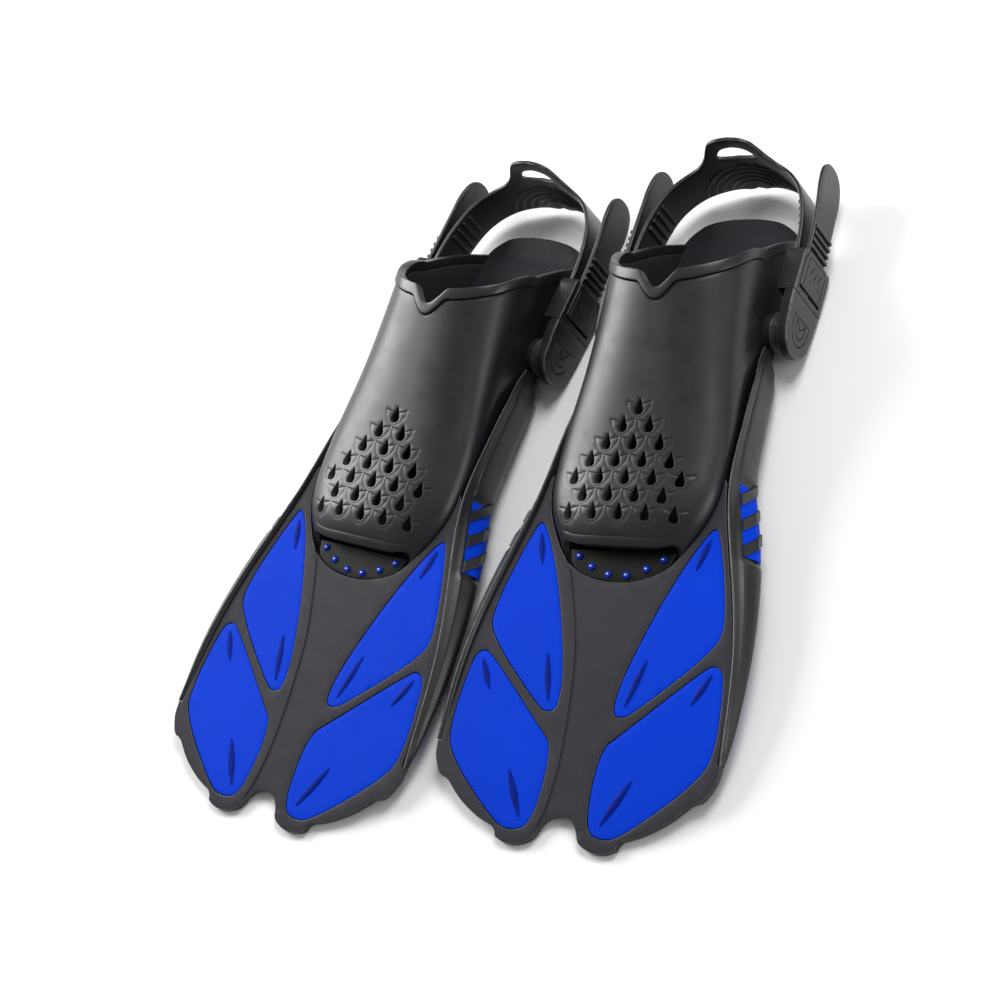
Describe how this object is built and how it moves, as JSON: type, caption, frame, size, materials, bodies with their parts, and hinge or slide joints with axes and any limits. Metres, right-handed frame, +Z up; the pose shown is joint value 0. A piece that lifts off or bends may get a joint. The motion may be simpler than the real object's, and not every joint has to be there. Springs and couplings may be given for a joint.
{
  "type": "pair of swim fins",
  "caption": "Open-heel swim fins lying side by side: split-tip blades with soft blue panels, rubber foot pockets with drain holes, and heel straps on swivelling quick-release buckles.",
  "frame": {"origin": "middle of the pair of fins at floor level, on the floor they lie on", "axes": "+Z up from the floor; +Y from the blade tips toward the heels, along the pair; +X across the pair, from the left fin to the right fin"},
  "size_m": [0.4566, 0.5561, 0.0972],
  "materials": {
    "frame": "satin",
    "rubber": "satin",
    "blue": "satin",
    "bed": "matte",
    "metal": "satin",
    "buckle": "satin",
    "band": "satin"
  },
  "bodies": {
    "right_fin": {"right_blade": "frame", "right_rail_l": "frame", "right_rail_r": "frame", "right_panel_ul": "blue", "right_panel_ur": "blue", "right_panel_ll": "blue", "right_panel_lr": "blue", "right_louvre_l": "blue", "right_louvre_r": "blue", "right_pocket": "rubber", "right_rim": "rubber", "right_footbed": "bed", "right_tread": "rubber", "right_studs": "metal", "right_post_l": "bed", "right_post_r": "bed"},
    "right_arm_body_r": {"right_arm_r": "buckle"},
    "right_arm_body_l": {"right_arm_l": "buckle"},
    "right_strap_body": {"right_strap": "band", "right_clip_l": "buckle", "right_clip_r": "buckle", "right_bar_l": "metal", "right_bar_r": "metal", "right_spring_l": "metal", "right_spring_r": "metal"},
    "right_lever_body_r": {"right_lever_r": "buckle"},
    "right_lever_body_l": {"right_lever_l": "buckle"},
    "left_fin": {"left_blade": "frame", "left_rail_l": "frame", "left_rail_r": "frame", "left_panel_ul": "blue", "left_panel_ur": "blue", "left_panel_ll": "blue", "left_panel_lr": "blue", "left_louvre_l": "blue", "left_louvre_r": "blue", "left_pocket": "rubber", "left_rim": "rubber", "left_footbed": "bed", "left_tread": "rubber", "left_studs": "metal", "left_post_l": "bed", "left_post_r": "bed"},
    "left_arm_body_r": {"left_arm_r": "buckle"},
    "left_arm_body_l": {"left_arm_l": "buckle"},
    "left_strap_body": {"left_strap": "band", "left_clip_l": "buckle", "left_clip_r": "buckle", "left_bar_l": "metal", "left_bar_r": "metal", "left_spring_l": "metal", "left_spring_r": "metal"},
    "left_lever_body_r": {"left_lever_r": "buckle"},
    "left_lever_body_l": {"left_lever_l": "buckle"}
  },
  "joints": [
    {"name": "right_arm_r_pivot", "type": "hinge", "parent": "right_fin", "child": "right_arm_body_r", "pos_m": [0.16401, 0.14241, 0.0224], "axis": [0.9969, 0.0785, 0], "range_deg": [0, 80]},
    {"name": "right_arm_l_pivot", "type": "hinge", "parent": "right_fin", "child": "right_arm_body_l", "pos_m": [0.02045, 0.13111, 0.0224], "axis": [0.9969, 0.0785, 0], "range_deg": [0, 80]},
    {"name": "right_strap_release", "type": "slide", "parent": "right_arm_body_r", "child": "right_strap_body", "axis": [-0.0784, 0.9962, 0.038], "range_m": [0, 0.025]},
    {"name": "right_lever_r_hinge", "type": "hinge", "parent": "right_strap_body", "child": "right_lever_body_r", "pos_m": [0.16187, 0.17472, 0.02363], "axis": [-0.003, 0.0379, -0.9993], "range_deg": [0, 20], "stiffness_Nm_per_rad": 0.04},
    {"name": "right_lever_l_hinge", "type": "hinge", "parent": "right_strap_body", "child": "right_lever_body_l", "pos_m": [0.01751, 0.16336, 0.02363], "axis": [0.003, -0.0379, 0.9993], "range_deg": [0, 20], "stiffness_Nm_per_rad": 0.04},
    {"name": "left_arm_r_pivot", "type": "hinge", "parent": "left_fin", "child": "left_arm_body_r", "pos_m": [-0.02045, 0.10611, 0.0224], "axis": [0.9969, -0.0785, 0], "range_deg": [0, 80]},
    {"name": "left_arm_l_pivot", "type": "hinge", "parent": "left_fin", "child": "left_arm_body_l", "pos_m": [-0.16401, 0.11741, 0.0224], "axis": [0.9969, -0.0785, 0], "range_deg": [0, 80]},
    {"name": "left_strap_release", "type": "slide", "parent": "left_arm_body_r", "child": "left_strap_body", "axis": [0.0784, 0.9962, 0.038], "range_m": [0, 0.025]},
    {"name": "left_lever_r_hinge", "type": "hinge", "parent": "left_strap_body", "child": "left_lever_body_r", "pos_m": [-0.01751, 0.13836, 0.02363], "axis": [0.003, 0.0379, -0.9993], "range_deg": [0, 20], "stiffness_Nm_per_rad": 0.04},
    {"name": "left_lever_l_hinge", "type": "hinge", "parent": "left_strap_body", "child": "left_lever_body_l", "pos_m": [-0.16187, 0.14972, 0.02363], "axis": [-0.003, -0.0379, 0.9993], "range_deg": [0, 20], "stiffness_Nm_per_rad": 0.04},
    {"name": "left_fin_apart", "type": "slide", "parent": "right_fin", "child": "left_fin", "axis": [0, 0, 1], "range_m": [0, 0.15]}
  ],
  "couplings": [
    {"joint": "right_arm_l_pivot", "follows": "right_arm_r_pivot", "ratio": 1},
    {"joint": "left_arm_l_pivot", "follows": "left_arm_r_pivot", "ratio": 1}
  ]
}
